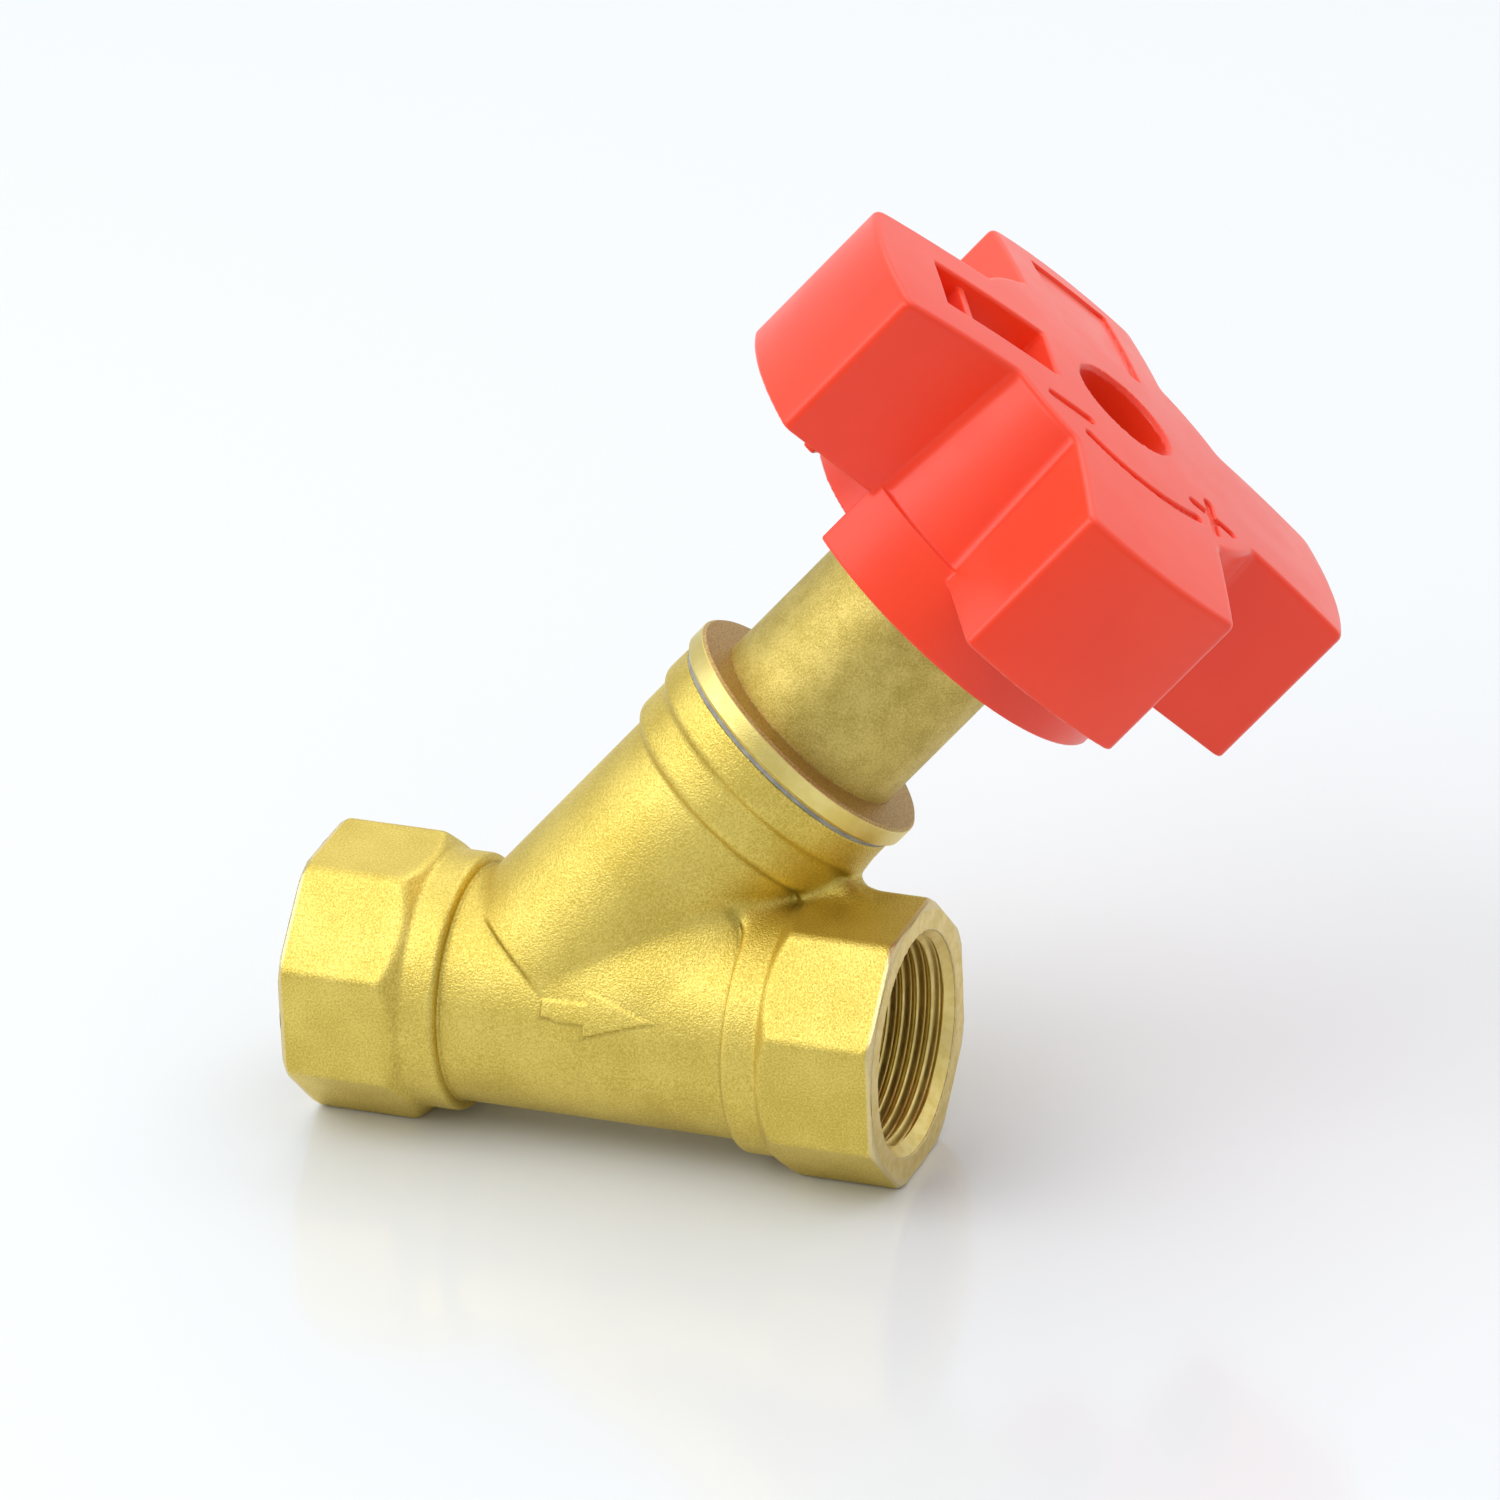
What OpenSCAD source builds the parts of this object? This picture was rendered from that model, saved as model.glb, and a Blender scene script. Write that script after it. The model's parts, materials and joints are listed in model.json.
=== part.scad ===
// Oblique-pattern (Y) throttling and shut-off valve with a digital four-lobed handwheel.
// Millimetres. Origin: centre of the inlet face on the run axis. +X runs with the flow to the outlet,
// +Z is up. The valve rests on a flat of each octagonal port, so its branch leans back by half of
// the octagon's pitch. Closed is the rest position; a turn of the wheel lifts the plug by screw_lead.

/* [Run] */
// Length between the two port faces
run_length = 75; // [73:1:80]
// Size across the flats of the octagonal ports
port_across_flats = 32.5; // [31.5:0.5:34]
// Length of each octagon, without its inner chamfer
port_length = 13; // [12:0.5:14]
// Outside radius of the cast tube between the ports
tube_r = 14.25; // [14:0.05:14.5]
// Outside radius of the round collar behind each port
collar_r = 15.6; // [15.3:0.1:15.9]
// Length of the round collar behind each port
collar_length = 6.4; // [5:0.2:7]

/* [Port threads] */
// Radius of the port bore, at the major diameter of a G 3/4 pipe thread
port_bore_r = 13.22; // [13.1:0.02:13.3]
// Depth of the threaded bore from the port face
port_bore_depth = 14; // [12:0.5:15]
// Radius of the port mouth at its countersink
port_mouth_r = 13.8; // [13.6:0.1:14]

/* [Branch] */
// Angle of the branch above the run axis
branch_angle = 50; // [48:0.5:52]
// Distance from the inlet face to the point where the axes cross
branch_x = 27.5; // [27:0.5:28.5]
// Outside radius of the branch
branch_r = 14.5; // [14.2:0.1:14.6]
// Radius of the valve chamber inside the branch
chamber_r = 11.2; // [10.9:0.1:11.4]
// Radius of the seat hole
seat_r = 8.8; // [8.5:0.1:9]

/* [Bonnet] */
// Radius of the bonnet flange
flange_r = 17.2; // [16.8:0.1:17.6]
// Thickness of the bonnet flange
flange_thickness = 3; // [2.6:0.2:3.4]
// Outside radius of the bonnet neck
neck_r = 12.9; // [12.6:0.1:13]
// Size across the flats of the hexagonal plug guide
guide_across_flats = 17.2; // [17:0.1:17.4]

/* [Screw] */
// Lift of the plug for one turn of the handwheel
screw_lead = 2; // [1:0.5:2]
// Turns of the handwheel from closed to fully open
open_turns = 4; // [3:1:4]
// Running clearance between a shaft and its bore, measured on the radius
running_gap = 0.05; // [0.02:0.01:0.08]

/* [Handwheel] */
// Radius over the tips of the four lobes
wheel_r = 37.6; // [36:0.2:39]
// Width of one lobe
lobe_width = 23.4; // [22:0.2:24]
// Height of the outer face of a lobe
lobe_height = 21.2; // [20.6:0.2:22]
// Rise of the crowned top from the lobe tips to the middle
crown_rise = 2.5; // [2:0.1:3]
// Radius of the hub wall between two lobes, at the top
hub_r = 22.4; // [22.2:0.1:22.8]
// Radius of the access hole in the middle of the top
access_r = 7; // [6.6:0.1:7.2]
// Turn of the lobes about the spindle when the valve is closed
wheel_turn = 38.5; // [0:0.5:89.5]
// Length of the reading window, along the lobe
window_length = 16.5; // [14:0.5:17]
// Width of the reading window
window_width = 10.2; // [8:0.2:11]
// Length of the sunk label field on the lobe beside the window
label_length = 18.7; // [16:0.1:19]
// Width of the sunk label field
label_width = 12.4; // [10:0.2:13]

/* [Counter gears] */
// Tooth module of the counter gears
gear_module = 0.5; // [0.5:0.1:0.5]
// Teeth on the fixed index gear
index_teeth = 30; // [30:1:30]
// Teeth on the large idler wheel
idler_teeth = 36; // [36:1:36]
// Teeth on the idler pinion
pinion_teeth = 9; // [9:1:9]
// Teeth inside the turns dial, which moves one tenth of a turn for a turn of the wheel
dial_teeth = 75; // [75:1:75]

/* [Hidden] */
$fn = 96;

octagon_sides = 8;
half_pitch = 180 / octagon_sides;
lean = half_pitch;
octagon_corner_r = port_across_flats / 2 / cos(half_pitch);
port_face_r = 16.9;
port_face_chamfer = 0.7;
port_back_chamfer = 2.4;
eps = 0.01;
far = 60;

// Stations along the branch, measured from the run axis
seat_z = -2;
branch_foot_z = 4.3;
seat_wall = 3.5;
chamber_top_z = 33.5;
branch_top_z = 43.4;
flange_z = 44;
flange_top_z = flange_z + flange_thickness;
neck_top_z = 76;
guide_top_z = 56;
bearing_top_z = 60;
lobe_z = 77.7;
lobe_top_z = lobe_z + lobe_height;
crown_z = lobe_top_z + crown_rise;

// Branch socket and rings
passage_r = 10;
outlet_passage_r = 10.4;
socket_r = 13;
ring_r = 15.7;
top_ring_r = 16.5;
ring_z = 33;
top_ring_z = 38.6;
web_width = 5.2;
web_start = [56, 15.2];
web_top = [63.6, 18.9];
web_end = [65.2, 17.4];
web_foot_z = 8;

// Spindle and screw
spindle_r = 5;
screw_r = 5.5;
journal_r = 6;
thrust_r = 8.6;
thrust_z = 60.5;
thrust_height = 3;
gland_r = 8.95;
gland_z = 64;
gland_top_z = 75.5;
drive_across_flats = 8.6;
stub_r = 3.9;
clip_groove_r = 3.4;
clip_z = 92.6;
clip_height = 0.8;
stop_r = 2.5;
stop_head_z = 86;
stop_ring_z = 80.8;
key_across_flats = 3;
o_ring_r = 0.8;
gland_ring_z = [67.2, 71.6];

// Plug
plug_r = 10.2;
plug_floor_z = 6;
lift = screw_lead * open_turns;
spindle_foot_z = plug_floor_z + lift + 1;
// Parked so high that it can follow the plug by its whole lift and still clear it
stop_foot_z = plug_floor_z + 2 * lift + 0.4;
plug_top_z = 42;
shank_z = 4;
seal_thickness = 2.6;
seal_recess_r = 9.9;
cone_r = 8.3;
cone_tip_r = 5.4;
cone_tip_z = -7.6;
cone_flange_z = -2.4;
bolt_r = 2;
bolt_head_r = 3.4;
bolt_head_height = 2;

// Handwheel inside
wall = 1.8;
ceiling_z = 96.2;
hub_cavity_r = 20.7;
hub_foot_r = hub_r + 1.5;
hub_tube_r = 8.6;
hub_floor_z = 90;
hub_floor_height = 2.4;
skirt_r = 24.4;
skirt_z = 69.5;
skirt_wall = 1.7;
inner_skirt_z = 73.1;
skirt_opening = 58.3;
skirt_opening_turn = -3.3;
flange_plate = 1.6;
window_inner_r = 12.2;
window_ledge_z = 94;
label_inner_r = 14;
label_depth = 0.5;
crown_sphere_r = (wheel_r * wheel_r + crown_rise * crown_rise) / (2 * crown_rise);

// Counter
index_r = gear_module * index_teeth / 2;
idler_r = gear_module * idler_teeth / 2;
idler_offset = index_r + idler_r;
carrier_z = 78.2;
carrier_height = 1.4;
arm_width = 17;
arm_start_r = 12;
arm_end_r = 27;
idler_z = 79.9;
idler_height = 2.8;
pinion_top_z = 93.6;
dial_teeth_z = 90;
dial_face_z = 94.2;
dial_face_top_z = 95.4;
index_plate_r = 12.6;
index_bore_r = 5.3;
index_teeth_z = 77.4;
index_teeth_top_z = 83.2;
index_sleeve_r = 6.2;
tenths_floor_z = 87.6;
tenths_floor_height = 1.2;
tenths_face_r = 15.4;
turns_face_r = 15.8;
turns_dial_r = 20.1;
pin_r = 0.75;
gear_backlash = 0.12;
pressure_angle = 20;

// Frame of the branch: its local +Z runs up the branch from the run axis
module on_branch() {
    translate([branch_x, 0, 0]) rotate([-lean, 0, 0]) rotate([0, 90 - branch_angle, 0]) children();
}

// Solid on the run axis from x0 to x1
module along_run(x0, x1, r) {
    translate([x0, 0, 0]) rotate([0, 90, 0]) cylinder(r = r, h = x1 - x0);
}

module tube(r_in, r_out, z0, z1) {
    rotate_extrude() translate([r_in, z0]) square([r_out - r_in, z1 - z0]);
}

module rod(r, z0, z1) {
    translate([0, 0, z0]) cylinder(r = r, h = z1 - z0);
}

module cone(r0, r1, z0, z1) {
    translate([0, 0, z0]) cylinder(r1 = r0, r2 = r1, h = z1 - z0);
}

module hexagon(across_flats, z0, z1) {
    translate([0, 0, z0]) cylinder(r = across_flats / 2 / cos(30), h = z1 - z0, $fn = 6);
}

module ring_of(r_centre, r_wire, z) {
    rotate_extrude() translate([r_centre, z]) circle(r = r_wire);
}

// Half-space above the branch station z, large enough to trim any passage
module above(z) {
    translate([-far, -far, z]) cube([2 * far, 2 * far, 2 * far]);
}

module below(z) {
    translate([-far, -far, z - 2 * far]) cube([2 * far, 2 * far, 2 * far]);
}

// Involute gear outline, with one tooth centred on the local +X axis
function involute(base_r, roll) = [
    base_r * (cos(roll) + roll * PI / 180 * sin(roll)),
    base_r * (sin(roll) - roll * PI / 180 * cos(roll))];
function roll_at(base_r, r) = sqrt(max(0, r * r / (base_r * base_r) - 1)) * 180 / PI;
function turned(p, a) = [p[0] * cos(a) - p[1] * sin(a), p[0] * sin(a) + p[1] * cos(a)];
function flank_angle(base_r, r) = roll_at(base_r, r) - atan(roll_at(base_r, r) * PI / 180);
function half_tooth(teeth, pitch_r, base_r, slack) =
    90 / teeth + flank_angle(base_r, pitch_r) - slack / pitch_r * 90 / PI;
function flank(base_r, root_r, tip_r, half, side) = [for (i = [0:3])
    let (r = max(base_r, root_r) + (tip_r - max(base_r, root_r)) * i / 3,
        p = turned(involute(base_r, roll_at(base_r, r)), -half))
    side > 0 ? [p[0], -p[1]] : p];
function reversed(list) = [for (i = [len(list) - 1:-1:0]) list[i]];
function tooth(teeth, root_r, tip_r, slack) =
    let (pitch_r = gear_module * teeth / 2,
        base_r = pitch_r * cos(pressure_angle),
        half = half_tooth(teeth, pitch_r, base_r, slack),
        low = flank(base_r, root_r, tip_r, half, -1),
        high = reversed(flank(base_r, root_r, tip_r, half, 1)),
        foot = [root_r * cos(half), -root_r * sin(half)])
    concat([foot], low, high, [[foot[0], -foot[1]]]);

module gear_outline(teeth, tip, root, slack) {
    pitch_r = gear_module * teeth / 2;
    polygon([for (i = [0:teeth - 1]) for (p = tooth(teeth, pitch_r - root, pitch_r + tip, slack))
        turned(p, 360 * i / teeth)]);
}

module gear(teeth, z0, z1, tip = 0.8 * gear_module, root = 1.2 * gear_module) {
    translate([0, 0, z0]) linear_extrude(z1 - z0) gear_outline(teeth, tip, root, gear_backlash / 2);
}

// One port, its mouth at x = 0 and its inside towards +X
module port_block() {
    intersection() {
        rotate([0, 90, 0]) rotate([0, 0, half_pitch])
            cylinder(r = octagon_corner_r, h = port_length + port_back_chamfer, $fn = octagon_sides);
        rotate([0, 90, 0]) rotate_extrude() polygon([[0, 0], [port_face_r, 0],
            [octagon_corner_r + eps, port_face_chamfer], [octagon_corner_r + eps, port_length],
            [collar_r - 0.4, port_length + port_back_chamfer], [0, port_length + port_back_chamfer]]);
    }
    along_run(port_length, port_length + collar_length - 0.5, collar_r);
    translate([port_length + collar_length - 0.5, 0, 0]) rotate([0, 90, 0])
        cylinder(r1 = collar_r, r2 = tube_r - 0.3, h = 0.9);
}

module port_bore() {
    translate([-eps, 0, 0]) along_run(0, port_bore_depth + eps, port_bore_r);
    translate([-eps, 0, 0]) rotate([0, 90, 0])
        cylinder(r1 = port_mouth_r, r2 = port_bore_r, h = port_mouth_r - port_bore_r);
}

module at_outlet() {
    translate([run_length, 0, 0]) mirror([1, 0, 0]) children();
}

module branch_outside() {
    rod(branch_r, branch_foot_z, ring_z + 1);
    rotate_extrude() polygon([[0, ring_z], [branch_r, ring_z], [ring_r, ring_z + 1.2],
        [ring_r, top_ring_z], [top_ring_r, top_ring_z + 0.8], [top_ring_r, branch_top_z - 0.3],
        [top_ring_r - 0.3, branch_top_z], [0, branch_top_z]]);
}

// Gusset between the branch and the outlet port, in the plane of the branch
module web() {
    rotate([-lean, 0, 0]) rotate([90, 0, 0]) linear_extrude(web_width, center = true)
        polygon([[web_start[0], web_foot_z], web_start, web_top, web_end, [web_end[0], web_foot_z]]);
}

// Raised flow arrow on the front of the tube
module flow_arrow() {
    arrow_x = 32.6;
    arrow_turn = 21.3;
    shaft_length = 5.4;
    barb_x = 5.8;
    arrow_length = 14;
    shaft_half = 1.03;
    head_half = 2.4;
    rise = 0.45;
    rotate([-arrow_turn, 0, 0]) translate([arrow_x, rise - tube_r - 1, 0]) rotate([90, 0, 0])
        mirror([0, 0, 1]) linear_extrude(1)
        polygon([[0, -shaft_half], [shaft_length, -shaft_half], [barb_x, -head_half],
            [arrow_length, 0], [barb_x, head_half], [shaft_length, shaft_half], [0, shaft_half]]);
}

module body() {
    color("goldenrod") difference() {
        union() {
            port_block();
            at_outlet() port_block();
            along_run(port_length, run_length - port_length, tube_r);
            on_branch() branch_outside();
            web();
            flow_arrow();
        }
        port_bore();
        at_outlet() port_bore();
        // Inlet passage, up to the underside of the seat wall
        intersection() {
            along_run(port_bore_depth - eps, branch_x + 20, passage_r);
            on_branch() below(seat_z - seat_wall);
        }
        // Outlet passage, from the chamber
        intersection() {
            along_run(branch_x, run_length - port_bore_depth + eps, outlet_passage_r);
            on_branch() above(seat_z);
        }
        on_branch() rod(seat_r, seat_z - seat_wall - eps, seat_z + eps);
        on_branch() rod(chamber_r, seat_z, chamber_top_z + eps);
        on_branch() rod(socket_r, chamber_top_z, branch_top_z + 1);
    }
}

module bonnet() {
    edge = 0.4;
    color("darkkhaki") on_branch() difference() {
        rotate_extrude() polygon([[0, chamber_top_z + 0.5], [socket_r - 1, chamber_top_z + 0.5],
            [socket_r - running_gap, chamber_top_z + 1.5], [socket_r - running_gap, flange_z],
            [flange_r - edge, flange_z], [flange_r, flange_z + edge], [flange_r, flange_top_z - edge],
            [flange_r - edge, flange_top_z], [neck_r, flange_top_z], [neck_r, neck_top_z - 0.8],
            [neck_r - 0.8, neck_top_z], [0, neck_top_z]]);
        hexagon(guide_across_flats, chamber_top_z, guide_top_z);
        rod(journal_r + running_gap, guide_top_z - eps, bearing_top_z + eps);
        rod(gland_r + running_gap, bearing_top_z, neck_top_z + 1);
    }
}

module bonnet_gasket() {
    color("dimgray") on_branch() tube(socket_r + 0.1, top_ring_r, branch_top_z, flange_z);
}

module gland_nut() {
    pin_hole_offset = 7.6;
    pin_hole_r = 0.8;
    color("gold") on_branch() difference() {
        tube(spindle_r + running_gap, gland_r, gland_z, gland_top_z);
        for (z = gland_ring_z) tube(spindle_r, spindle_r + 2 * o_ring_r + 0.1, z - 1, z + 1);
        for (side = [0, 180]) rotate([0, 0, side]) translate([pin_hole_offset, 0, 0])
            rod(pin_hole_r, gland_top_z - 2, gland_top_z + 1);
    }
}

module lower_thrust_washer() {
    color("ivory") on_branch() tube(journal_r + 0.1, thrust_r, bearing_top_z, thrust_z - running_gap);
}

module upper_thrust_washer() {
    color("ivory") on_branch()
        tube(spindle_r + 0.1, thrust_r, thrust_z + thrust_height + running_gap, gland_z);
}

module spindle_o_rings() {
    color("black") on_branch() for (z = gland_ring_z)
        ring_of(spindle_r + running_gap + o_ring_r, o_ring_r, z);
}

// Fixed to the bonnet: its teeth drive the idler as the wheel carries the idler round
module index_gear() {
    color("whitesmoke") on_branch() difference() {
        union() {
            rod(gland_r, gland_top_z, neck_top_z);
            rod(index_plate_r, neck_top_z, index_teeth_z);
            rotate([0, 0, wheel_turn]) gear(index_teeth, index_teeth_z - 0.2, index_teeth_top_z);
            rod(index_sleeve_r, index_teeth_top_z - eps, tenths_floor_z + tenths_floor_height);
        }
        rod(index_bore_r, gland_top_z - 1, tenths_floor_z + tenths_floor_height + 1);
    }
}

// Shows the tenths of a turn; it stands still under the moving window
module tenths_dial() {
    dish_in = hub_tube_r + 0.5;
    dish_out = dish_in + 1.1;
    color("white") on_branch() rotate_extrude() polygon([[index_sleeve_r, tenths_floor_z],
        [dish_out, tenths_floor_z], [dish_out, dial_face_z], [tenths_face_r, dial_face_z],
        [tenths_face_r, dial_face_top_z], [dish_in, dial_face_top_z],
        [dish_in, tenths_floor_z + tenths_floor_height],
        [index_sleeve_r, tenths_floor_z + tenths_floor_height]]);
}

module spindle() {
    color("khaki") on_branch() difference() {
        union() {
            rod(screw_r, spindle_foot_z, guide_top_z);
            rod(journal_r, guide_top_z, thrust_z);
            rod(thrust_r, thrust_z, thrust_z + thrust_height);
            rod(spindle_r, thrust_z, hub_floor_z - 0.2);
            rotate([0, 0, wheel_turn])
                hexagon(drive_across_flats, hub_floor_z - 0.3, hub_floor_z + hub_floor_height);
            rod(stub_r, hub_floor_z, clip_z + clip_height + 1);
        }
        rod(stop_r + running_gap, 0, crown_z);
        tube(clip_groove_r, stub_r + 0.1, clip_z, clip_z + clip_height);
    }
}

// Outline of the wheel from above: a cross of lobes, cut to the wheel radius, round a hub
module wheel_outline(inset) {
    intersection() {
        circle(r = wheel_r - inset);
        for (side = [0, 90]) rotate([0, 0, side])
            square([2 * wheel_r, lobe_width - 2 * inset], center = true);
    }
}

// Reading window: open down to the dials near the hub, closed by a ledge further out, with a bar across
module wheel_window() {
    ledge_height = 2;
    bar_r = 23.2;
    bar_width = 1.2;
    bar_top_z = 99.2;
    translate([window_inner_r, -window_width / 2, window_ledge_z])
        cube([hub_cavity_r - window_inner_r, window_width, crown_z - window_ledge_z + 1]);
    difference() {
        translate([window_inner_r, -window_width / 2, window_ledge_z + ledge_height])
            cube([window_length, window_width, crown_z - window_ledge_z]);
        translate([bar_r, -window_width / 2 - 1, window_ledge_z])
            cube([bar_width, window_width + 2, bar_top_z - window_ledge_z]);
    }
}

module lobe_with_window() {
    rotate([0, 0, 180]) children();
}

// Shallow field for a label, sunk into the crown of the lobe beside the window
module label_field() {
    rotate([0, 0, 90]) difference() {
        translate([label_inner_r, -label_width / 2, ceiling_z]) cube([label_length, label_width, wall * 5]);
        crown_sphere(crown_sphere_r - label_depth);
    }
}

module crown_sphere(r) {
    translate([0, 0, crown_z - crown_sphere_r]) sphere(r = r, $fn = 200);
}

module skirt() {
    slot_width = 15.2;
    slot_height = lobe_z - skirt_z + 1;
    tube(hub_cavity_r + 0.4, skirt_r - skirt_wall + eps, inner_skirt_z, lobe_z + flange_plate);
    tube(hub_cavity_r, skirt_r, lobe_z, lobe_z + flange_plate);
    difference() {
        tube(skirt_r - skirt_wall, skirt_r, skirt_z, lobe_z + 0.1);
        // Openings under two opposite lobes
        for (turn = [0, 180]) rotate([0, 0, turn + skirt_opening_turn]) for (side = [-1, 1])
            rotate([0, 0, side * (skirt_opening / 2 - asin(slot_width / 2 / skirt_r))])
            translate([0, -slot_width / 2, skirt_z - 1]) cube([skirt_r + 2, slot_width, slot_height]);
    }
}

module wheel_cavity() {
    translate([0, 0, lobe_z - 1]) linear_extrude(ceiling_z - lobe_z + 1) wheel_outline(wall);
    rod(hub_cavity_r, lobe_z - 1, ceiling_z);
}

module handwheel() {
    arm_clearance = 0.3;
    color("orangered") on_branch() rotate([0, 0, wheel_turn]) difference() {
        union() {
            difference() {
                intersection() {
                    union() {
                        translate([0, 0, lobe_z]) linear_extrude(lobe_height + crown_rise)
                            wheel_outline(0);
                        cone(hub_foot_r, hub_r, lobe_z, crown_z);
                    }
                    crown_sphere(crown_sphere_r);
                }
                wheel_cavity();
            }
            skirt();
            rod(hub_tube_r, hub_floor_z, ceiling_z + 1);
            // Ledge that closes the outer end of the window
            lobe_with_window() translate([hub_cavity_r, -window_width / 2 - 1, window_ledge_z])
                cube([window_inner_r + window_length - hub_cavity_r + 1, window_width + 2,
                    ceiling_z - window_ledge_z + 0.5]);
        }
        rod(access_r, hub_floor_z + hub_floor_height, crown_z + 1);
        hexagon(drive_across_flats + 2 * running_gap, hub_floor_z - 1, hub_floor_z + 3);
        lobe_with_window() wheel_window();
        label_field();
        carrier_arm(arm_clearance, arm_clearance);
    }
}

module retaining_clip() {
    clip_r = 5.8;
    color("silver") on_branch() difference() {
        tube(clip_groove_r, clip_r, clip_z, clip_z + clip_height);
        translate([0, -1.6, clip_z - 1]) cube([clip_r + 1, 3.2, 3]);
    }
}

// Arm of the carrier under the idler; the wheel has a slot of the same shape with some clearance
module carrier_arm(clearance, extra_height) {
    translate([arm_start_r, -arm_width / 2 - clearance, carrier_z])
        cube([arm_end_r + clearance - arm_start_r, arm_width + 2 * clearance,
            carrier_height + extra_height]);
}

// Plate snapped into the wheel; it carries the idler and its rim carries the turns dial
module gear_carrier() {
    rim_in = 19.7;
    rim_out = 20.45;
    rim_top = dial_teeth_z - 0.3;
    gap_width = 20;
    color("lightgray") on_branch() rotate([0, 0, wheel_turn]) difference() {
        union() {
            tube(9, rim_out, carrier_z, carrier_z + carrier_height);
            tube(rim_in, rim_out, carrier_z, rim_top);
            carrier_arm(0, 0);
        }
        translate([9, -gap_width / 2, carrier_z + carrier_height]) cube([20, gap_width, 20]);
        translate([idler_offset, 0, 0]) rod(pin_r, carrier_z - 1, carrier_z + 3);
    }
}

module idler_pin() {
    color("silver") on_branch() rotate([0, 0, wheel_turn]) translate([idler_offset, 0, 0])
        rod(pin_r, carrier_z, pinion_top_z);
}

module idler_gear() {
    color("white") on_branch() rotate([0, 0, wheel_turn]) translate([idler_offset, 0, 0]) difference() {
        union() {
            rotate([0, 0, 180 + 180 / idler_teeth]) gear(idler_teeth, idler_z, idler_z + idler_height);
            gear(pinion_teeth, idler_z + 1, pinion_top_z);
        }
        rod(pin_r + running_gap, idler_z - 1, pinion_top_z + 1);
    }
}

// Shows the whole turns; the pinion drives its inner teeth
module turns_dial() {
    color("white") on_branch() rotate([0, 0, wheel_turn]) difference() {
        rod(turns_dial_r, dial_teeth_z, dial_face_top_z);
        translate([0, 0, dial_teeth_z - 1]) linear_extrude(dial_face_z - dial_teeth_z + 1)
            gear_outline(dial_teeth, 1.2 * gear_module, 0.7 * gear_module, -gear_backlash / 2);
        rod(turns_face_r, dial_teeth_z, dial_face_top_z + 1);
    }
}

// Memory stop: set with a key through the access hole, it limits how far the plug can open
module stop_screw() {
    key_depth = 4;
    color("silver") on_branch() difference() {
        rod(stop_r, stop_foot_z, stop_head_z);
        hexagon(key_across_flats, stop_head_z - key_depth, stop_head_z + 1);
        tube(stop_r - 0.78, stop_r + 1, stop_ring_z - 0.5, stop_ring_z + 0.5);
    }
}

module stop_screw_o_ring() {
    wire_r = 0.36;
    color("black") on_branch() ring_of(stop_r - wire_r, wire_r, stop_ring_z);
}

module plug() {
    shank_across_flats = guide_across_flats - 0.3;
    color("gold") on_branch() difference() {
        union() {
            rotate_extrude() polygon([[0, seat_z + 0.6], [plug_r, seat_z + 0.6], [plug_r, shank_z - 0.6],
                [plug_r - 0.8, shank_z + 0.4], [0, shank_z + 0.4]]);
            hexagon(shank_across_flats, shank_z, plug_top_z);
        }
        rod(screw_r + running_gap, plug_floor_z, plug_top_z + 1);
        tube(bolt_r + 2, seal_recess_r, seat_z, seat_z + seal_thickness);
        rod(bolt_r + running_gap, seat_z, plug_floor_z - 1);
    }
}

module seat_seal() {
    color("dimgray") on_branch()
        tube(bolt_r + 2 + running_gap, seal_recess_r - running_gap, seat_z + running_gap,
            seat_z + seal_thickness);
}

// Clamps the seal and shapes the flow at small openings
module throttle_cone() {
    color("gold") on_branch() difference() {
        union() {
            cone(cone_tip_r, cone_r, cone_tip_z, cone_flange_z);
            rod(cone_r, cone_flange_z, seat_z + running_gap);
            rod(bolt_r + 2, seat_z, seat_z + 0.6);
        }
        rod(bolt_r + running_gap, cone_tip_z - 1, seat_z + 1);
    }
}

module plug_screw() {
    slot_width = 0.9;
    color("silver") on_branch() difference() {
        union() {
            rod(bolt_r, cone_tip_z, plug_floor_z - 1.2);
            rod(bolt_head_r, cone_tip_z - bolt_head_height, cone_tip_z);
        }
        translate([-bolt_head_r - 1, -slot_width / 2, cone_tip_z - bolt_head_height - 1])
            cube([2 * bolt_head_r + 2, slot_width, 2]);
    }
}

body();
bonnet();
bonnet_gasket();
gland_nut();
lower_thrust_washer();
upper_thrust_washer();
spindle_o_rings();
index_gear();
tenths_dial();
spindle();
handwheel();
retaining_clip();
gear_carrier();
idler_pin();
idler_gear();
turns_dial();
stop_screw();
stop_screw_o_ring();
plug();
seat_seal();
throttle_cone();
plug_screw();
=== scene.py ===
"""Looks of the oblique throttling valve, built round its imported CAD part."""
import json
import math

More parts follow.
